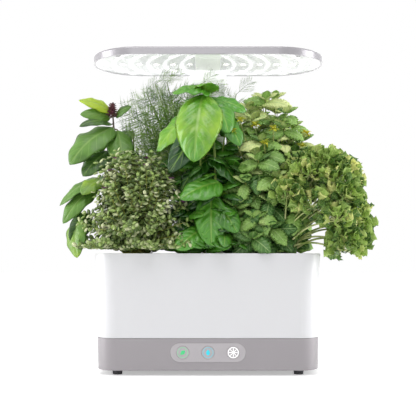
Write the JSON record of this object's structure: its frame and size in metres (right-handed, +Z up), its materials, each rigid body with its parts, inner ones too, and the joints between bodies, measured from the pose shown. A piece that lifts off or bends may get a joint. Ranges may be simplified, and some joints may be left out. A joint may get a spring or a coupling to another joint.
{
  "type": "countertop hydroponic garden",
  "caption": "Water bowl with six herb pods on a base with push buttons, under a lamp hood on a telescoping mast.",
  "frame": {"origin": "on the floor, under the middle of the base, in the plane of the feet's undersides", "axes": "+Z up, +Y to the back where the mast stands, +X to the right seen from the control panel"},
  "size_m": [0.3776, 0.1885, 0.3864],
  "materials": {
    "base_grey": "satin",
    "base_underside": "matte",
    "foot_rubber": "matte",
    "screw_steel": "satin",
    "panel_grey": "satin",
    "button_grey": "satin",
    "circuit_board": "satin",
    "switch_black": "satin",
    "mast_white": "satin",
    "hood_grey": "satin",
    "light_panel_white": "satin",
    "lens_clear": "gloss",
    "led_yellow": "gloss",
    "bowl_white": "satin",
    "deck_white": "satin",
    "basket_white": "matte",
    "sponge_brown": "matte",
    "label_yellow": "matte",
    "pump_black": "satin",
    "filter_foam": "matte",
    "outlet_clear": "gloss",
    "float_white": "satin",
    "thyme_leaf": "matte",
    "genovese_leaf": "satin",
    "parsley_leaf": "matte",
    "thai_leaf": "satin",
    "dill_leaf": "matte",
    "mint_leaf": "satin"
  },
  "bodies": {
    "base": {"base_shell": "base_grey", "bottom_plate": "base_underside", "foot_front_left": "foot_rubber", "foot_front_right": "foot_rubber", "foot_back_left": "foot_rubber", "foot_back_right": "foot_rubber", "base_screws": "screw_steel", "control_panel": "panel_grey", "control_board": "circuit_board", "tact_switches": "switch_black", "dc_jack": "switch_black", "mast_socket": "mast_white", "socket_collar": "mast_white"},
    "bowl": {"bowl": "bowl_white", "grow_deck": "deck_white", "pump_housing": "pump_black", "pump_filter": "filter_foam", "pump_outlet_tube": "outlet_clear", "float_guide": "float_white", "grow_basket_front_left": "basket_white", "grow_basket_front_centre": "basket_white", "grow_basket_front_right": "basket_white", "grow_basket_back_left": "basket_white", "grow_basket_back_centre": "basket_white", "grow_basket_back_right": "basket_white", "sponge_front_left": "sponge_brown", "sponge_front_centre": "sponge_brown", "sponge_front_right": "sponge_brown", "sponge_back_left": "sponge_brown", "sponge_back_centre": "sponge_brown", "sponge_back_right": "sponge_brown", "pod_label_front_left": "label_yellow", "pod_label_front_centre": "label_yellow", "pod_label_front_right": "label_yellow", "pod_label_back_left": "label_yellow", "pod_label_back_centre": "label_yellow", "pod_label_back_right": "label_yellow", "thyme": "thyme_leaf", "genovese_basil": "genovese_leaf", "curly_parsley": "parsley_leaf", "thai_basil": "thai_leaf", "dill": "dill_leaf", "mint": "mint_leaf"},
    "mast_lower": {"mast_lower_tube": "mast_white"},
    "lamp": {"mast_upper_tube": "mast_white", "hood_bracket": "mast_white", "hood_shell": "hood_grey", "hood_panel": "light_panel_white", "lens_left": "lens_clear", "lens_right": "lens_clear", "led_board": "circuit_board", "led_chips": "led_yellow", "panel_screws": "screw_steel", "hood_centre_cover": "light_panel_white"},
    "feed_key": {"feed_button": "button_grey"},
    "water_key": {"water_button": "button_grey"},
    "light_key": {"light_button": "button_grey"},
    "impeller": {"pump_impeller": "pump_black"},
    "float": {"float": "float_white"}
  },
  "joints": [
    {"name": "mast_lower_slide", "type": "slide", "parent": "base", "child": "mast_lower", "axis": [0, 0, 1], "range_m": [-0.109, 0], "deforming": ["thyme", "genovese_basil", "curly_parsley", "thai_basil", "dill", "mint"]},
    {"name": "mast_upper_slide", "type": "slide", "parent": "mast_lower", "child": "lamp", "axis": [0, 0, 1], "range_m": [0, 0.056]},
    {"name": "bowl_out", "type": "slide", "parent": "base", "child": "bowl", "axis": [0, -1, 0], "range_m": [0, 0.165]},
    {"name": "feed_press", "type": "slide", "parent": "base", "child": "feed_key", "axis": [0, 1, 0], "range_m": [0, 0.0008], "stiffness_N_per_m": 600, "springref_m": -0.0008},
    {"name": "water_press", "type": "slide", "parent": "base", "child": "water_key", "axis": [0, 1, 0], "range_m": [0, 0.0008], "stiffness_N_per_m": 600, "springref_m": -0.0008},
    {"name": "light_press", "type": "slide", "parent": "base", "child": "light_key", "axis": [0, 1, 0], "range_m": [0, 0.0008], "stiffness_N_per_m": 600, "springref_m": -0.0008},
    {"name": "impeller_spin", "type": "hinge", "parent": "bowl", "child": "impeller", "pos_m": [-0.042, -0.0155, 0.0645], "axis": [0, 0, 1], "continuous": true},
    {"name": "float_slide", "type": "slide", "parent": "bowl", "child": "float", "axis": [0, 0, 1], "range_m": [0, 0.018]}
  ]
}
